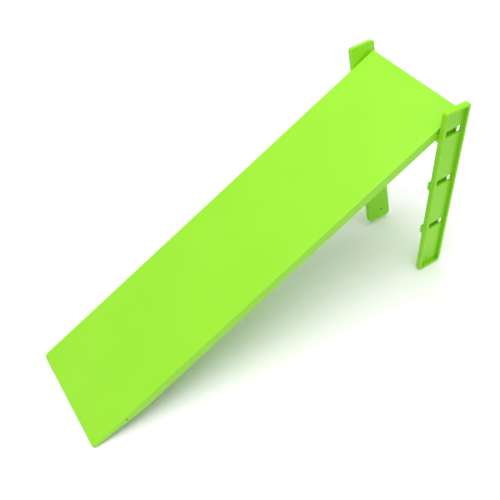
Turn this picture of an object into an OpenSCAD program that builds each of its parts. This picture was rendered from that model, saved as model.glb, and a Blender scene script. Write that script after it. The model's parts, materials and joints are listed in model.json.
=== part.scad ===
// Table-top straight slide: one moulded deck that hangs on the lugs of two
// loose side legs. The toe of the deck and the sole of the upright leg stand on
// the floor, z = 0. The left leg leans in, as it stands when it is not pushed home.
// X runs up the slide, Y to the left of someone looking up it, Z up. The origin
// is the middle of the bottom of the box around the whole slide.

/* [Deck] */
// Length of the sliding surface, toe to upper end
deck_l = 400; // [250:1:600]
// Width of the sliding surface
deck_w = 108.4; // [70:0.1:200]
// Thickness of the sliding plate
plate_t = 2.4; // [2:0.1:3]
// Depth of the skirt below the sliding surface
skirt_h = 9.5; // [8.5:0.1:14]
// Thickness of the skirt wall
skirt_t = 2.4; // [1.6:0.1:4]
// Thickness at the toe
toe_t = 2.4; // [1.5:0.1:4]
// Length over which the underside rises to the toe
toe_taper_l = 53; // [35:1:90]
// Length of solid material behind the toe edge
toe_solid_l = 20; // [12:1:30]
// Corner radius in plan at the toe
toe_corner_r = 3; // [1:0.5:12]
// Corner radius in plan at the upper end
end_corner_r = 1.5; // [1:0.5:8]

/* [Ribs under the deck] */
// Thickness of a rib
rib_t = 1.6; // [1:0.1:3]
// Depth of a rib below the plate
rib_h = 4.5; // [2:0.1:5.5]
// Ribs along the deck
long_ribs = 2; // [1:1:4]
// Ribs across the deck
cross_ribs = 5; // [2:1:9]

/* [Leg notch in the deck] */
// Distance from the deck's upper end back to the front of the lug that carries it
lug_setback = 25.7; // [20:0.1:40]
// Depth below the sliding surface at which the deck lies on the lug
land_depth = 4.1; // [3.5:0.1:6]
// Room between the end of the skirt and the front of the leg
notch_gap = 0.8; // [0.5:0.1:3]
// Height of the plain lip at the edge above the notch
lip_h = 0.8; // [0.5:0.1:1.5]

/* [Legs] */
// Height of a leg
leg_h = 183.5; // [172:0.5:240]
// Width of a leg, along the slide
leg_w = 25.5; // [23:0.1:40]
// Thickness of a leg over its rims
leg_t = 5.3; // [3:0.1:7]
// Thickness of the web between the rims
web_t = 2; // [1:0.1:2.5]
// Width of the rims
rim_w = 2.5; // [1.5:0.1:4]
// Corner radius at the foot
foot_r = 3.5; // [1:0.1:8]
// Corner radius at the top
top_r = 2.5; // [1:0.1:6]
// Corner radius inside the rims
recess_r = 1.5; // [0.5:0.1:4]
// Radius of the hole through the foot
foot_hole_r = 1; // [0.6:0.1:2]
// Height of that hole above the sole
foot_hole_z = 9; // [6:0.5:20]
// Foot hole's distance from the middle of the leg, to the front on the right leg and to the back on the left
foot_hole_off = 2.6; // [0:0.2:5]

/* [Seats on the legs] */
// Seat that carries the deck, counted from the lowest
seat_used = 3; // [1:1:3]
// Seats on each leg
seats = 3; // [3:1:3]
// Height of the middle of the lowest lug above the sole
seat_z = 52; // [40:0.1:60]
// Height from one seat to the next
seat_pitch = 52.4; // [35:0.1:53]
// Length of a lug along the leg's width
lug_l = 20; // [14:0.1:20]
// Height of a lug
lug_h = 8.2; // [6:0.1:12]
// Length that a lug stands out from the leg's inner face
lug_out = 2.8; // [2.2:0.1:3.5]
// Thickness of a lug's walls
lug_wall = 1.2; // [0.8:0.1:1.8]
// Radius along a lug's top edge
lug_r = 1; // [0.3:0.1:1.1]
// Height of the slot that opens each lug through the web
slot_h = 6.8; // [4:0.1:9]
// Height of the middle of the slot above the middle of the lug
slot_rise = 2; // [0:0.1:2]

/* [Fits] */
// Distance from a leg's inner face in to the line that the leg leans about
pivot_in = 4; // [3:0.1:6]
// Height of that line above the sliding surface, at the front of the leg
pivot_rise = 3; // [0:0.1:3]
// Gap between the side of the deck and a leg's inner face
side_gap = 1.2; // [0.2:0.1:1.5]
// Gap between the deck's land and the top of the lug when the leg is upright
land_gap = 0.3; // [0.2:0.05:1]
// Gap left at the end of the lean
stop_gap = 0.3; // [0.2:0.05:0.6]
// Furthest that a leg leans inward
lean_max = 14.1; // [6:0.1:15]
// Lean of the left leg as the slide stands
left_lean = 14.1; // [0:0.1:14.1]
// Lean of the right leg as the slide stands
right_lean = 0; // [0:0.1:14.1]

/* [Colours] */
// Colour of the deck
deck_colour = "#a4ee46";
// Colour of the legs
leg_colour = "#92d83f";

/* [Hidden] */
$fn = 48;
eps = 0.01;
over = 1;

// The lug's front top edge touches the deck at this place on the deck.
lug_along = deck_l - lug_setback;
lug_top = seat_z + (seat_used - 1) * seat_pitch + lug_h / 2;
land_z = lug_top + land_gap;
// The toe's lower edge is on the floor, so the land lies this much deeper than the toe.
land_drop = land_depth - toe_t;
function slope_at(z) = asin(z / norm([lug_along, land_drop])) + atan(land_drop / lug_along);
slope = slope_at(land_z);
steepest = slope_at(land_z + (seats - seat_used) * seat_pitch);
toe_z = toe_t * cos(slope);

// Front of the legs, and the height of the sliding surface there
leg_x = lug_along * cos(slope) + land_depth * sin(slope);
surface_z = toe_z + leg_x * tan(slope);
inner_y = deck_w / 2 + side_gap;
// A leg leans about a line just inside the end of its lug, a little above the deck,
// so its inner face comes in to the edge of the deck as its foot swings in.
pivot_y = inner_y - pivot_in;
pivot_z = surface_z + pivot_rise;
// A leaning leg's inner face comes in to this line at the height of the land, and
// the deck's side steps in there by land_in if it has to.
land_low = pivot_z - (surface_z - land_depth / cos(slope));
face_reach = pivot_in / cos(lean_max) - land_low * tan(lean_max);
land_in = max(0, pivot_in - side_gap + stop_gap - face_reach);
// Inner wall of the notch: the end of the lug stops against its lower edge.
wall_bottom = pivot_z - (surface_z - skirt_h / cos(slope));
lug_end = pivot_in - lug_out;
stop_reach = (lug_end - wall_bottom * sin(lean_max)) / cos(lean_max);
wall_y = pivot_y + stop_reach - stop_gap;

// Box around the whole slide as it stands
function top_y(lean) = (pivot_in + leg_t) * cos(lean) + (leg_h - pivot_z) * sin(lean);
centre_y = (top_y(left_lean) - top_y(right_lean)) / 2;
far_x = max(leg_x + leg_w, deck_l * cos(slope) + skirt_h * sin(slope));

// Rectangle with its corners rounded, r1 on the low-X side and r2 on the high-X side
module rounded(x0, x1, y0, y1, r1, r2) {
    union() {
        translate([x0 + r1, y0]) square([x1 - x0 - r1 - r2, y1 - y0]);
        translate([x0, y0 + r1]) square([x1 - x0, y1 - y0 - 2 * r1]);
        translate([x1 - r2 - eps, y0 + r2]) square([r2 + eps, y1 - y0 - 2 * r2]);
        for (y = [y0 + r1, y1 - r1]) translate([x0 + r1, y]) circle(r1);
        for (y = [y0 + r2, y1 - r2]) translate([x1 - r2, y]) circle(r2);
    }
}

// ---- deck, drawn flat: X from the toe, Z = 0 on the sliding surface ----

module deck_side() {
    polygon([[0, 0], [deck_l, 0], [deck_l, -skirt_h], [toe_taper_l, -skirt_h], [0, -toe_t]]);
}

module deck_outer() {
    intersection() {
        translate([0, deck_w / 2 + over, 0])
            rotate([90, 0, 0]) linear_extrude(deck_w + 2 * over) deck_side();
        translate([0, 0, -skirt_h - over]) linear_extrude(skirt_h + 2 * over)
            rounded(0, deck_l, -deck_w / 2, deck_w / 2, toe_corner_r, end_corner_r);
    }
}

// Hollow under the plate, open at the bottom. Its sides step in beside the notches.
module deck_hollow() {
    inner_w = deck_w - 2 * skirt_t;
    notch_x = lug_along - (skirt_h - land_depth) * tan(steepest) - notch_gap / cos(steepest);
    land_l = notch_x - skirt_t;
    narrow_w = 2 * (wall_y - skirt_t);
    translate([0, 0, -skirt_h - over]) linear_extrude(skirt_h + over - plate_t) {
        translate([toe_solid_l, -inner_w / 2]) square([land_l - toe_solid_l, inner_w]);
        translate([toe_solid_l, -narrow_w / 2]) square([deck_l - skirt_t - toe_solid_l, narrow_w]);
    }
}

module deck_ribs() {
    hollow_l = deck_l - skirt_t - toe_solid_l;
    inner_w = deck_w - skirt_t;
    intersection() {
        deck_outer();
        translate([0, 0, -plate_t - rib_h]) linear_extrude(rib_h + eps) {
            for (i = [1:long_ribs])
                translate([toe_solid_l - eps, inner_w * (i / (long_ribs + 1) - 0.5) - rib_t / 2])
                    square([hollow_l + 2 * eps, rib_t]);
            for (i = [1:cross_ribs])
                translate([toe_solid_l + hollow_l * i / (cross_ribs + 1) - rib_t / 2, -inner_w / 2])
                    square([rib_t, inner_w]);
        }
    }
}

// Cut along one side, from just in front of the leg to the upper end: the land
// that lies on the lug, and the pocket that the lug swings in. Its front runs
// parallel to the leg when the slide stands at its steepest.
module notch() {
    top = 2 * over;
    low = skirt_h + over;
    intersection() {
        translate([lug_along - deck_w, 0, 0]) rotate([90, 0, 90]) linear_extrude(2 * deck_w)
            polygon([[deck_w / 2 + over, -lip_h], [deck_w / 2, -lip_h], [deck_w / 2 - land_in, -land_depth],
                     [wall_y, -land_depth], [wall_y, -low], [deck_w / 2 + over, -low]]);
        translate([lug_along - notch_gap / cos(steepest), deck_w, 0])
            rotate([90, 0, 0]) linear_extrude(deck_w)
                polygon([[(land_depth + top) * tan(steepest), top], [deck_w, top], [deck_w, -low - over],
                         [(land_depth - low - over) * tan(steepest), -low - over]]);
    }
}

module slide_deck() {
    color(deck_colour) place() translate([0, 0, toe_z]) rotate([0, -slope, 0]) difference() {
        union() {
            difference() {
                deck_outer();
                deck_hollow();
            }
            deck_ribs();
        }
        notch();
        mirror([0, 1, 0]) notch();
    }
}

// ---- legs, drawn upright: X from the front edge, Y outward from the inner face ----

// Outline of a leg, drawn in by inset for the recess between the rims
module leg_plan(inset, r1, r2) {
    translate([leg_w, 0]) rotate(90) rounded(inset, leg_h - inset, inset, leg_w - inset, r1, r2);
}

module lug(z) {
    translate([0, 0, z - lug_h / 2]) rotate([90, 0, 90]) linear_extrude(lug_l) {
        translate([-lug_out, 0]) square([lug_out + eps, lug_h - lug_r]);
        translate([lug_r - lug_out, 0]) square([lug_out - lug_r + eps, lug_h]);
        translate([lug_r - lug_out, lug_h - lug_r]) circle(lug_r);
    }
}

// The core of a lug opens through a slot in the web, from rim to rim.
module lug_core(z) {
    slot_low = z + slot_rise - slot_h / 2;
    core_low = max(slot_low, z - lug_h / 2 + lug_wall);
    core_h = z + lug_h / 2 - lug_wall - core_low;
    translate([rim_w, -lug_out + lug_wall, core_low])
        cube([lug_l - lug_wall - rim_w, lug_out - lug_wall + leg_t + over, core_h]);
    translate([rim_w, -eps, slot_low]) cube([leg_w - 2 * rim_w, leg_t + over, slot_h]);
}

module leg(hole_x) {
    difference() {
        union() {
            translate([0, leg_t, 0]) rotate([90, 0, 0]) linear_extrude(leg_t) leg_plan(0, foot_r, top_r);
            for (i = [0:seats - 1]) lug(seat_z + i * seat_pitch);
        }
        translate([0, leg_t + over, 0]) rotate([90, 0, 0])
            linear_extrude(leg_t - web_t + over) leg_plan(rim_w, recess_r, recess_r);
        for (i = [0:seats - 1]) lug_core(seat_z + i * seat_pitch);
        translate([hole_x, -over, foot_hole_z])
            rotate([-90, 0, 0]) cylinder(h = leg_t + 2 * over, r = foot_hole_r);
    }
}

// Leg on the +Y side, leaning inward by lean about its pivot
module standing_leg(lean, hole_x) {
    translate([leg_x, pivot_y, pivot_z]) rotate([-lean, 0, 0]) translate([0, pivot_in, -pivot_z]) leg(hole_x);
}

module left_leg() {
    color(leg_colour) place() standing_leg(left_lean, leg_w / 2 + foot_hole_off);
}

module right_leg() {
    color(leg_colour) place() mirror([0, 1, 0]) standing_leg(right_lean, leg_w / 2 - foot_hole_off);
}

// From the toe's edge on the middle line to the slide's own origin
module place() {
    translate([-far_x / 2, -centre_y, 0]) children();
}

slide_deck();
left_leg();
right_leg();
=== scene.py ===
import json
import math

import bmesh
import bpy
from mathutils import Matrix, Vector


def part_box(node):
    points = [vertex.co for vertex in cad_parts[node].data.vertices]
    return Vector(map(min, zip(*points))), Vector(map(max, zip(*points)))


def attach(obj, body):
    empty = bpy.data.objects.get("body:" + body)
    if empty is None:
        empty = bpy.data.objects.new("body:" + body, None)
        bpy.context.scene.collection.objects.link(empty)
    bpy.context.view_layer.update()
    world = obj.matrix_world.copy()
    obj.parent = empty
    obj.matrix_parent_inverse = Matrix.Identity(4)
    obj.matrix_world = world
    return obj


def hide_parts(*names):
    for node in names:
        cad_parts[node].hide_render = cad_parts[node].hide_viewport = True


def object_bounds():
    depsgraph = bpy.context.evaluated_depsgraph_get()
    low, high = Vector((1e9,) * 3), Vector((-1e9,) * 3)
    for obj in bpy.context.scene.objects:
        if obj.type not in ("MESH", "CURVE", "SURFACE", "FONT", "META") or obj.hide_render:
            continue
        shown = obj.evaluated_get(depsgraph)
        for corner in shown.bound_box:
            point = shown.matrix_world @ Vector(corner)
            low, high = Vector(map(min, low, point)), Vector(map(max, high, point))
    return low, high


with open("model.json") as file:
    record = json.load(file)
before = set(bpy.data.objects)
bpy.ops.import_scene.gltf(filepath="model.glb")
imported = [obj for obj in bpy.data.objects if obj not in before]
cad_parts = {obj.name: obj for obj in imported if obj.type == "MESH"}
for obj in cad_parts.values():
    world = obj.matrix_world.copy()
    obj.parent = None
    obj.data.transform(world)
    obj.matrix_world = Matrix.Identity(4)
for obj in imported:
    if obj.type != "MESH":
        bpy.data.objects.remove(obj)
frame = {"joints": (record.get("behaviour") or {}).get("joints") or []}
CAD_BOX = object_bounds()

# The sizes of the object are in millimetres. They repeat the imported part's, apart from those
# that a comment names as the visual model's own. Places come from the frame.
MM = 0.001

# Deck
DECK_L = 400
DECK_W = 108.4
PLATE_T = 2.4
SKIRT_H = 9.5
SKIRT_T = 2.4
TOE_T = 2.4
TAPER_L = 53
TOE_SOLID_L = 20
TOE_CORNER_R = 3
END_CORNER_R = 1.5
RIB_T = 1.6
RIB_H = 4.5
LONG_RIBS = 2
CROSS_RIBS = 5

# Notch that hangs on a leg's lug. LAND_IN and NOTCH_WALL_IN are measured in from the deck's side.
LUG_SETBACK = 25.7
LAND_DEPTH = 4.1
LAND_IN = 0.873
LIP_H = 0.8
NOTCH_WALL_IN = 5.266
# The visual notch starts closer in front of the lug than the part's, so that no daylight shows there.
NOTCH_GAP = 0.25

# Moulding mark on the right side of the deck, which only the visual model has
MARK_X = 35
MARK_DOWN = 3.5
MARK_R = 0.9
MARK_DEPTH = 1.8
MARK_STEPS = 20

# Legs
LEG_H = 183.5
LEG_W = 25.5
LEG_T = 5.3
WEB_T = 2
RIM_W = 2.5
FOOT_R = 3.5
TOP_R = 2.5
RECESS_R = 1.5
FOOT_HOLE_R = 1
FOOT_HOLE_Z = 9
FOOT_HOLE_OFF = 2.6
FOOT_HOLE_STEPS = 32

# Lugs and slots
SEATS = 3
SEAT_Z = 52
SEAT_PITCH = 52.4
LUG_L = 20
LUG_H = 8.2
LUG_OUT = 2.8
LUG_WALL = 1.2
LUG_R = 1
SLOT_H = 6.8
SLOT_RISE = 2

# Rounded edges, which only the visual model has
TOP_EDGE_R = 0.9
INNER_EDGE_R = 0.35
OUTER_EDGE_R = 1.2
RECESS_EDGE_R = 0.4
RECESS_FILLET_R = 0.5
MIN_CORNER_R = 0.2
ARC_STEPS = 6

# Small edges that the cuts and joins leave
SMALL_EDGE_R = 0.25
SMALL_EDGE_STEPS = 3
SHARP_ANGLE = math.radians(35)
MERGE_GAP = 0.002
FLAT_ANGLE = math.radians(0.2)

# How far a cut runs past the surface that it opens, and how far a joined piece runs into its neighbour
OVER = 1
BARELY_OVER = 0.01
RIB_SUNK = 0.6
LUG_SUNK = 0.8
# Step that keeps a face or an edge from lying exactly on another
FACE_STEP = 0.1

# Plastics. A scale is in noise cells for each metre, and the other lengths are in metres.
DECK_COLOUR = (0.292, 0.70, 0.025, 1)
DECK_DEEP_COLOUR = (0.274, 0.675, 0.021, 1)
DECK_ROUGHNESS = 0.34
LEG_COLOUR = (0.278, 0.70, 0.012, 1)
LEG_DEEP_COLOUR = (0.26, 0.675, 0.010, 1)
LEG_ROUGHNESS = 0.32
# Part of a noise texture's output that is stretched to fill a range
NOISE_LOW = 0.3
NOISE_HIGH = 0.7
DRIFT_SCALE = 14
DRIFT_DETAIL = 3
# Painted shade in recesses: a recess is painted darkest where openness within PAINTED_SHADE_REACH
# is down to PAINTED_SHADE_CLOSED. There it keeps these shares of the deep colour's red, green and
# blue. It is left unshaded from PAINTED_SHADE_OPEN up.
PAINTED_SHADE_REACH = 0.005
PAINTED_SHADE_SAMPLES = 8
PAINTED_SHADE_CLOSED = 0.2
PAINTED_SHADE_OPEN = 0.82
PAINTED_SHADE_SHARES = (0.35, 0.62, 0.2)
GLOSS_SCALE = 60
GLOSS_DETAIL = 4
GLOSSIER = 0.04
DULLER = 0.05
WAVE_SCALE = 90
WAVE_DETAIL = 1
WAVE_HEIGHT = 0.0001
WAVE_STRENGTH = 0.25
GRAIN_SCALE = 2600
GRAIN_DETAIL = 2
GRAIN_HEIGHT = 0.00002
GRAIN_STRENGTH = 0.35
PLASTIC_IOR = 1.49
PLASTIC_SPECULAR = 0.36
SCATTER_WEIGHT = 0.1
SCATTER_RADIUS = (0.6, 1.0, 0.15)
SCATTER_SCALE = 0.0015

# Camera, placed from the middle of the toe on the floor
CAMERA_FROM_TOE = Vector((-7.0, -360.02, 517.52)) * MM
CAMERA_AZIMUTH = math.radians(61.368)
CAMERA_PITCH = math.radians(-47.472)
CAMERA_ROLL = math.radians(-5.021)
CAMERA_LENS = 50.29
SENSOR_W = 36
CLIP_START = 0.01

# Floor and light, in metres and watts
FLOOR_REACH = 6
FLOOR_DROP = 0.0002
FLOOR_COLOUR = (0.92, 0.92, 0.92, 1)
FLOOR_ROUGHNESS = 0.9
FLOOR_SPECULAR = 0.1
WORLD_COLOUR = (1, 1, 1, 1)
WORLD_STRENGTH = 0.68
KEY_PLACE = Vector((0.02, -0.08, 1.4))
KEY_AIM = Vector((0, 0, 0.05))
KEY_SIZE = 1.3
KEY_POWER = 15.5


# ---- places, from the frame ----

def deck_place():
    """Place of the deck's mesh, which is drawn flat, and its slope."""
    low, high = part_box("slide_deck")
    height = (high.z - low.z) / MM
    slope = math.asin(height / math.hypot(DECK_L, TOE_T)) - math.atan2(TOE_T, DECK_L)
    toe_top = Vector((low.x, (low.y + high.y) / 2, low.z + TOE_T * MM * math.cos(slope)))
    return Matrix.Translation(toe_top) @ Matrix.Rotation(-slope, 4, "Y") @ Matrix.Scale(MM, 4), slope


def joint_named(name):
    return next(joint for joint in frame["joints"] if joint["name"] == name)


def leg_place(name, lean, side):
    """Place of a leg whose mesh is drawn upright: X from its front edge, Y outward, Z up from the sole."""
    # The right leg stands upright, so its box gives where the pivot lies in from a leg's inner face.
    right_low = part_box("right_leg")[0]
    right_pivot = Vector(joint_named("right_leg_lean")["pos_m"])
    pivot_in = right_pivot.y - (right_low.y + LEG_T * MM)
    pivot = Vector(joint_named(name + "_lean")["pos_m"])
    pivot.x = right_low.x
    turn = Matrix.Rotation(-side * lean, 4, "X")
    drop = Matrix.Translation(Vector((0, side * pivot_in, -pivot.z)))
    mirror = Matrix.Diagonal((1, side, 1, 1))
    return Matrix.Translation(pivot) @ turn @ drop @ mirror @ Matrix.Scale(MM, 4)


# ---- mesh helpers ----

def add_object(name, data):
    obj = bpy.data.objects.new(name, data)
    bpy.context.scene.collection.objects.link(obj)
    return obj


def new_object(name, bm):
    mesh = bpy.data.meshes.new(name)
    bmesh.ops.recalc_face_normals(bm, faces=bm.faces)
    bm.to_mesh(mesh)
    bm.free()
    return add_object(name, mesh)


def arc(centre, radius, start, end, steps=ARC_STEPS):
    """Points on an arc, both ends included; angles in degrees."""
    points = []
    for i in range(steps + 1):
        angle = math.radians(start + (end - start) * i / steps)
        points.append((centre[0] + radius * math.cos(angle), centre[1] + radius * math.sin(angle)))
    return points


def circle(centre, radius, steps):
    return arc(centre, radius, 0, 360, steps)[:-1]


def quarter_turn():
    """Sine and cosine at each step of a quarter turn, both ends included."""
    angles = [math.radians(90 * step / ARC_STEPS) for step in range(ARC_STEPS + 1)]
    return [(math.sin(angle), math.cos(angle)) for angle in angles]


def rounded_outline(x0, x1, y0, y1, r_low, r_high):
    """Anticlockwise rectangle with rounded corners, r_low at the x0 end and r_high at the x1 end."""
    points = arc((x0 + r_low, y0 + r_low), r_low, 180, 270)
    points += arc((x1 - r_high, y0 + r_high), r_high, 270, 360)
    points += arc((x1 - r_high, y1 - r_high), r_high, 0, 90)
    points += arc((x0 + r_low, y1 - r_low), r_low, 90, 180)
    return points


def ring_solid(name, rings, first_cap=None):
    """Closed solid through rings of 3-D points, all of the same count, with a face on each end.

    Where one face can't close the first end, first_cap lists the points of each face that does.
    """
    bm = bmesh.new()
    loops = [[bm.verts.new(p) for p in ring] for ring in rings]
    for low, high in zip(loops, loops[1:]):
        for i in range(len(low)):
            j = (i + 1) % len(low)
            bm.faces.new((low[i], low[j], high[j], high[i]))
    bm.faces.new(loops[-1])
    if first_cap is None:
        bm.faces.new(list(reversed(loops[0])))
    else:
        for indices in first_cap:
            bm.faces.new([loops[0][i] for i in indices])
    return new_object(name, bm)


def prism(name, outline, low, high, axis):
    """Outline drawn on the other two axes, in X, Y, Z order, carried along axis from low to high."""
    def point(a, b, c):
        return {"X": (c, a, b), "Y": (a, c, b), "Z": (a, b, c)}[axis]
    rings = [[point(a, b, c) for a, b in outline] for c in (low, high)]
    return ring_solid(name, rings)


def box(name, x, y, z):
    return prism(name, [(x[0], y[0]), (x[1], y[0]), (x[1], y[1]), (x[0], y[1])], z[0], z[1], "Z")


def combine(obj, tools, operation):
    """Cuts the tools from obj or joins them to it, and removes them."""
    for tool in tools:
        modifier = obj.modifiers.new(operation, "BOOLEAN")
        modifier.operation = operation
        modifier.solver = "EXACT"
        modifier.object = tool
    bpy.context.view_layer.update()
    graph = bpy.context.evaluated_depsgraph_get()
    mesh = bpy.data.meshes.new_from_object(obj.evaluated_get(graph))
    obj.modifiers.clear()
    obj.data = mesh
    for tool in tools:
        bpy.data.objects.remove(tool)


def clean(obj):
    """Merges doubled points and the flat strips that the cuts leave."""
    bm = bmesh.new()
    bm.from_mesh(obj.data)
    bmesh.ops.remove_doubles(bm, verts=bm.verts, dist=MERGE_GAP)
    bmesh.ops.dissolve_limit(bm, angle_limit=FLAT_ANGLE, verts=bm.verts, edges=bm.edges)
    bm.to_mesh(obj.data)
    bm.free()


def finish_edges(obj, place):
    """Puts the mesh in its place, and rounds the edges that are still sharp."""
    obj.data.transform(place)
    if place.determinant() < 0:
        obj.data.flip_normals()
    obj.data.shade_smooth()
    bevel = obj.modifiers.new("edges", "BEVEL")
    bevel.limit_method = "ANGLE"
    bevel.angle_limit = SHARP_ANGLE
    bevel.width = SMALL_EDGE_R * MM
    bevel.segments = SMALL_EDGE_STEPS
    bevel.use_clamp_overlap = False
    normals = obj.modifiers.new("normals", "WEIGHTED_NORMAL")
    normals.keep_sharp = False


# ---- deck, drawn flat: X from the toe, Z = 0 on the sliding surface ----

BELOW_SKIRT = -SKIRT_H - OVER


def taper(x):
    """Height of the deck's lower edge, which drops from the toe to the full skirt."""
    return -min(SKIRT_H, TOE_T + (SKIRT_H - TOE_T) * max(x, 0) / TAPER_L)


def deck_outline(inset):
    """Outline in X and Y, drawn in by inset, with a point on each side where the taper ends."""
    half = DECK_W / 2 - inset
    toe_r = max(TOE_CORNER_R - inset, MIN_CORNER_R)
    end_r = max(END_CORNER_R - inset, MIN_CORNER_R)
    points = rounded_outline(inset, DECK_L - inset, -half, half, toe_r, end_r)
    after_toe = ARC_STEPS + 1
    points.insert(after_toe, (TAPER_L, -half))
    points.insert(len(points) - after_toe, (TAPER_L, half))
    return points


def deck_body():
    """Solid block of the deck, with its top and bottom edges rounded."""
    rings = []
    for sine, cosine in quarter_turn():
        rise = INNER_EDGE_R * (1 - cosine)
        rings.append([(x, y, taper(x) + rise) for x, y in deck_outline(INNER_EDGE_R * (1 - sine))])
    for sine, cosine in quarter_turn():
        drop = TOP_EDGE_R * (1 - sine)
        rings.append([(x, y, -drop) for x, y in deck_outline(TOP_EDGE_R * (1 - cosine))])
    # The underside bends where the taper ends, so a face closes it on each side of the bend.
    along = [point[0] for point in rings[0]]
    middle = len(along) / 2
    right_front = [i for i, x in enumerate(along) if x <= TAPER_L and i < middle]
    left_front = [i for i, x in enumerate(along) if x <= TAPER_L and i > middle]
    rear = [i for i, x in enumerate(along) if x >= TAPER_L]
    return ring_solid("deck", rings, [left_front + right_front, rear])


def notch_front(slope):
    """X of the notch's front, at the depth of the land."""
    return DECK_L - LUG_SETBACK - NOTCH_GAP / math.cos(slope)


def hollow_cut(slope):
    """Hollow under the plate, open at the bottom, with its sides stepped in beside the notches."""
    wide = DECK_W / 2 - SKIRT_T
    narrow = DECK_W / 2 - NOTCH_WALL_IN - SKIRT_T
    step = notch_front(slope) - (SKIRT_H - LAND_DEPTH) * math.tan(slope) - SKIRT_T
    end = DECK_L - SKIRT_T
    outline = [(TOE_SOLID_L, -wide), (step, -wide), (step, -narrow), (end, -narrow),
               (end, narrow), (step, narrow), (step, wide), (TOE_SOLID_L, wide)]
    return prism("hollow", outline, BELOW_SKIRT, -PLATE_T, "Z")


def notch_cuts(slope, side):
    """Seat for the lug, and the relief beside it for the leg that leans in."""
    # The seat's top is level, where the part's follows the deck, so that no daylight shows over the lug.
    edge = DECK_W / 2
    front = notch_front(slope)
    depth = -LAND_DEPTH - BELOW_SKIRT
    seat = [(front, -LAND_DEPTH), (front + depth / math.tan(slope), BELOW_SKIRT),
            (front - depth * math.tan(slope), BELOW_SKIRT)]
    inner, outer = sorted((side * (edge - NOTCH_WALL_IN), side * (edge + OVER)))
    relief = [(edge + OVER, -LIP_H), (edge, -LIP_H), (edge - LAND_IN, -LAND_DEPTH),
              (edge - LAND_IN, BELOW_SKIRT), (edge + OVER, BELOW_SKIRT)]
    front_ring = [(front + (LAND_DEPTH + z) * math.tan(slope), side * y, z) for y, z in relief]
    rear_ring = [(DECK_L + OVER, side * y, z) for y, z in relief]
    return [prism("seat", seat, inner, outer, "Y"), ring_solid("relief", [front_ring, rear_ring])]


def mark_cut():
    edge = DECK_W / 2
    outline = circle((MARK_X, -MARK_DOWN), MARK_R, MARK_STEPS)
    return prism("mark", outline, -edge - OVER, -edge + MARK_DEPTH, "Y")


def deck_ribs():
    """Ribs under the plate, sunk into the walls that they meet."""
    bottom = -PLATE_T - RIB_H
    top = -PLATE_T + RIB_SUNK
    wide = DECK_W / 2 - SKIRT_T
    hollow_l = DECK_L - SKIRT_T - TOE_SOLID_L
    start = TOE_SOLID_L - RIB_SUNK
    end = DECK_L - SKIRT_T + RIB_SUNK
    # Nearer the toe than this, a long rib follows the taper.
    low_from = (-bottom - TOE_T) / (SKIRT_H - TOE_T) * TAPER_L
    side_view = [(start, top), (start, taper(start) + FACE_STEP), (low_from, bottom),
                 (end, bottom), (end, top)]
    ribs = []
    for i in range(1, LONG_RIBS + 1):
        y = (DECK_W - SKIRT_T) * (i / (LONG_RIBS + 1) - 0.5)
        ribs.append(prism("long_rib", side_view, y - RIB_T / 2, y + RIB_T / 2, "Y"))
    for i in range(1, CROSS_RIBS + 1):
        x = TOE_SOLID_L + hollow_l * i / (CROSS_RIBS + 1)
        ribs.append(box("cross_rib", (x - RIB_T / 2, x + RIB_T / 2), (-wide - RIB_SUNK, wide + RIB_SUNK),
                        (bottom, top)))
    return ribs


def make_deck():
    place, slope = deck_place()
    deck = deck_body()
    cuts = [hollow_cut(slope)] + notch_cuts(slope, -1) + notch_cuts(slope, 1) + [mark_cut()]
    combine(deck, cuts, "DIFFERENCE")
    combine(deck, deck_ribs(), "UNION")
    clean(deck)
    finish_edges(deck, place)
    deck.name = "sliding_deck"
    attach(deck, "slide_deck")
    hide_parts("slide_deck")
    return deck


# ---- legs, drawn upright: X from the front edge, Y outward from the inner face ----

def leg_outline(inset, foot_r, top_r):
    """Outline in X and Z, drawn in by inset."""
    turned = rounded_outline(inset, LEG_H - inset, inset, LEG_W - inset, foot_r, top_r)
    return [(x, z) for z, x in turned]


def leg_plate():
    """Tray of the leg: inner face, sides, rims, and the recess down to the web."""
    rings = []

    def ring(inset, y, foot_r, top_r):
        rings.append([(x, y, z) for x, z in leg_outline(inset, foot_r, top_r)])

    for sine, cosine in quarter_turn():
        inset = INNER_EDGE_R * (1 - sine)
        ring(inset, INNER_EDGE_R * (1 - cosine), FOOT_R - inset, TOP_R - inset)
    for sine, cosine in quarter_turn():
        inset = OUTER_EDGE_R * (1 - cosine)
        ring(inset, LEG_T - OUTER_EDGE_R * (1 - sine), FOOT_R - inset, TOP_R - inset)
    for sine, cosine in quarter_turn():
        inset = RIM_W - RECESS_EDGE_R * (1 - sine)
        corner_r = RECESS_R + RIM_W - inset
        ring(inset, LEG_T - RECESS_EDGE_R * (1 - cosine), corner_r, corner_r)
    for sine, cosine in quarter_turn():
        inset = RIM_W + RECESS_FILLET_R * (1 - cosine)
        corner_r = RECESS_R + RIM_W - inset
        ring(inset, WEB_T + RECESS_FILLET_R * (1 - sine), corner_r, corner_r)
    return ring_solid("leg", rings)


def seat_heights():
    return [SEAT_Z + i * SEAT_PITCH for i in range(SEATS)]


def lug_blocks():
    """Lugs on the inner face, each with its top edge rounded."""
    blocks = []
    for z in seat_heights():
        low = z - LUG_H / 2
        high = z + LUG_H / 2
        profile = [(LUG_SUNK, low), (LUG_SUNK, high)]
        profile += arc((LUG_R - LUG_OUT, high - LUG_R), LUG_R, 90, 180)
        profile += [(-LUG_OUT, low)]
        blocks.append(prism("lug", profile, FACE_STEP, LUG_L, "X"))
    return blocks


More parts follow.
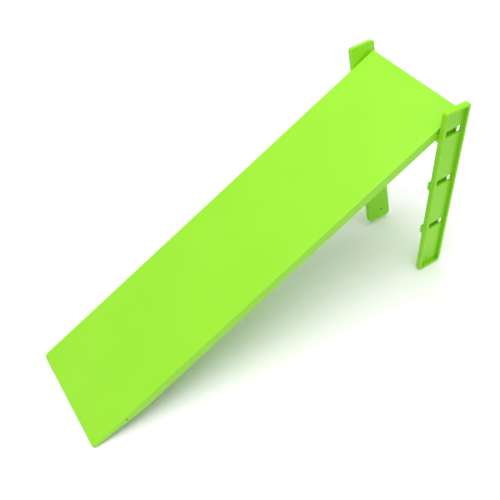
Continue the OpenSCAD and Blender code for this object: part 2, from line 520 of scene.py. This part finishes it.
def leg_cuts(side):
    """The core of each lug, the slot that opens it through the web, and the hole above the sole."""
    cuts = []
    # The recess's fillet takes up the ends of a slot, so it is shorter than the part's.
    slot_in = RIM_W + RECESS_FILLET_R - FACE_STEP
    for z in seat_heights():
        slot_low = z + SLOT_RISE - SLOT_H / 2
        core_top = z + LUG_H / 2 - LUG_WALL
        cuts.append(box("core", (slot_in, LUG_L - LUG_WALL), (LUG_WALL - LUG_OUT, WEB_T + OVER),
                        (slot_low, core_top)))
        cuts.append(box("slot", (slot_in, LEG_W - slot_in), (-BARELY_OVER, WEB_T + OVER),
                        (slot_low, slot_low + SLOT_H)))
    hole = circle((LEG_W / 2 + side * FOOT_HOLE_OFF, FOOT_HOLE_Z), FOOT_HOLE_R, FOOT_HOLE_STEPS)
    cuts.append(prism("hole", hole, -OVER, LEG_T + OVER, "Y"))
    return cuts


def make_leg(name, lean, side):
    """Leg that leans inward by lean; side is 1 on the left and -1 on the right."""
    leg = leg_plate()
    combine(leg, lug_blocks(), "UNION")
    combine(leg, leg_cuts(side), "DIFFERENCE")
    clean(leg)
    finish_edges(leg, leg_place(name, lean, side))
    leg.name = name + "_moulding"
    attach(leg, name)
    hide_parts(name)
    return leg


# ---- materials ----

def node(tree, kind, inputs=None, **settings):
    made = tree.nodes.new(kind)
    for key, value in settings.items():
        setattr(made, key, value)
    for key, value in (inputs or {}).items():
        if isinstance(value, bpy.types.NodeSocket):
            tree.links.new(value, made.inputs[key])
        else:
            made.inputs[key].default_value = value
    return made


def noise(tree, place, scale, detail):
    inputs = {"Vector": place, "Scale": scale, "Detail": detail}
    return node(tree, "ShaderNodeTexNoise", inputs).outputs["Fac"]


def stretch(tree, value, low, high, new_low=0, new_high=1):
    """Value's range from low to high, carried to the range from new_low to new_high."""
    inputs = {"Value": value, "From Min": low, "From Max": high, "To Min": new_low, "To Max": new_high}
    return node(tree, "ShaderNodeMapRange", inputs).outputs["Result"]


def mix_colours(tree, factor, a, b):
    inputs = {"Factor": factor, "A": a, "B": b}
    return node(tree, "ShaderNodeMix", inputs, data_type="RGBA").outputs["Result"]


def plastic_colour(tree, place, colour, deep):
    """Colour that drifts between two greens, with painted shade darkening it in recesses."""
    drift = noise(tree, place, DRIFT_SCALE, DRIFT_DETAIL)
    mixed = mix_colours(tree, stretch(tree, drift, NOISE_LOW, NOISE_HIGH), deep, colour)
    # Painted shade: ambient occlusion of the part's own shape darkens and deepens the green in recesses,
    # where shade falls.
    openness = node(tree, "ShaderNodeAmbientOcclusion", {"Distance": PAINTED_SHADE_REACH}, only_local=True,
                    samples=PAINTED_SHADE_SAMPLES)
    unshaded = stretch(tree, openness.outputs["AO"], PAINTED_SHADE_CLOSED, PAINTED_SHADE_OPEN)
    painted_shade_colour = tuple(channel * share for channel, share in zip(deep, PAINTED_SHADE_SHARES)) + (1,)
    return mix_colours(tree, unshaded, painted_shade_colour, mixed)


def plastic_surface(tree, place):
    """Normal with the flow's faint waves and the mould's fine grain."""
    wave = noise(tree, place, WAVE_SCALE, WAVE_DETAIL)
    wavy = node(tree, "ShaderNodeBump",
                {"Height": wave, "Distance": WAVE_HEIGHT, "Strength": WAVE_STRENGTH})
    grain = noise(tree, place, GRAIN_SCALE, GRAIN_DETAIL)
    grainy = node(tree, "ShaderNodeBump",
                  {"Height": grain, "Distance": GRAIN_HEIGHT, "Strength": GRAIN_STRENGTH,
                   "Normal": wavy.outputs["Normal"]})
    return grainy.outputs["Normal"]


def plastic(name, colour, deep, roughness):
    """Semi-gloss moulded plastic, with varying colour, painted shade in recesses, varying gloss, faint
    waves and a fine grain.
    """
    material = bpy.data.materials.new(name)
    material.use_nodes = True
    tree = material.node_tree
    shader = tree.nodes["Principled BSDF"]
    place = node(tree, "ShaderNodeTexCoord").outputs["Object"]
    tree.links.new(plastic_colour(tree, place, colour, deep), shader.inputs["Base Color"])
    patches = noise(tree, place, GLOSS_SCALE, GLOSS_DETAIL)
    gloss = stretch(tree, patches, NOISE_LOW, NOISE_HIGH, roughness - GLOSSIER, roughness + DULLER)
    tree.links.new(gloss, shader.inputs["Roughness"])
    tree.links.new(plastic_surface(tree, place), shader.inputs["Normal"])
    shader.inputs["IOR"].default_value = PLASTIC_IOR
    shader.inputs["Specular IOR Level"].default_value = PLASTIC_SPECULAR
    shader.inputs["Subsurface Weight"].default_value = SCATTER_WEIGHT
    shader.inputs["Subsurface Radius"].default_value = SCATTER_RADIUS
    shader.inputs["Subsurface Scale"].default_value = SCATTER_SCALE
    return material


def floor_paper():
    material = bpy.data.materials.new("floor_paper")
    material.use_nodes = True
    shader = material.node_tree.nodes["Principled BSDF"]
    shader.inputs["Base Color"].default_value = FLOOR_COLOUR
    shader.inputs["Roughness"].default_value = FLOOR_ROUGHNESS
    shader.inputs["Specular IOR Level"].default_value = FLOOR_SPECULAR
    return material


def dress(obj, material):
    obj.data.materials.clear()
    obj.data.materials.append(material)


# ---- stage ----

def facing(direction):
    """Turn that points a camera or a light along direction, with its top up."""
    return direction.to_track_quat("-Z", "Y").to_matrix().to_4x4()


def make_camera():
    low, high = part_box("slide_deck")
    toe = Vector((low.x, (low.y + high.y) / 2, 0))
    forward = Vector((math.cos(CAMERA_PITCH) * math.cos(CAMERA_AZIMUTH),
                      math.cos(CAMERA_PITCH) * math.sin(CAMERA_AZIMUTH), math.sin(CAMERA_PITCH)))
    data = bpy.data.cameras.new("camera")
    data.lens = CAMERA_LENS
    data.sensor_width = SENSOR_W
    data.clip_start = CLIP_START
    camera = add_object("camera", data)
    camera.matrix_world = (Matrix.Translation(toe + CAMERA_FROM_TOE) @ facing(forward)
                           @ Matrix.Rotation(CAMERA_ROLL, 4, "Z"))
    bpy.context.scene.camera = camera


def make_floor():
    bm = bmesh.new()
    bmesh.ops.create_grid(bm, x_segments=1, y_segments=1, size=FLOOR_REACH)
    floor = new_object("floor", bm)
    floor.data.transform(Matrix.Translation(Vector((0, 0, CAD_BOX[0][2] - FLOOR_DROP))))
    dress(floor, floor_paper())


def make_light():
    """White surroundings, and a large soft light overhead."""
    world = bpy.context.scene.world or bpy.data.worlds.new("world")
    bpy.context.scene.world = world
    world.use_nodes = True
    background = world.node_tree.nodes["Background"]
    background.inputs["Color"].default_value = WORLD_COLOUR
    background.inputs["Strength"].default_value = WORLD_STRENGTH
    data = bpy.data.lights.new("key", "AREA")
    data.shape = "DISK"
    data.size = KEY_SIZE
    data.energy = KEY_POWER
    light = add_object("key", data)
    light.matrix_world = Matrix.Translation(KEY_PLACE) @ facing(KEY_AIM - KEY_PLACE)


make_camera()
make_floor()
make_light()
bpy.context.scene.view_settings.view_transform = "Standard"

deck_plastic = plastic("deck_plastic", DECK_COLOUR, DECK_DEEP_COLOUR, DECK_ROUGHNESS)
leg_plastic = plastic("leg_plastic", LEG_COLOUR, LEG_DEEP_COLOUR, LEG_ROUGHNESS)
dress(make_deck(), deck_plastic)
# The left leg rests leaned in by the whole range of its joint, and the right leg rests upright.
left_lean = math.radians(joint_named("left_leg_lean")["range_deg"][1])
dress(make_leg("left_leg", left_lean, 1), leg_plastic)
dress(make_leg("right_leg", 0, -1), leg_plastic)
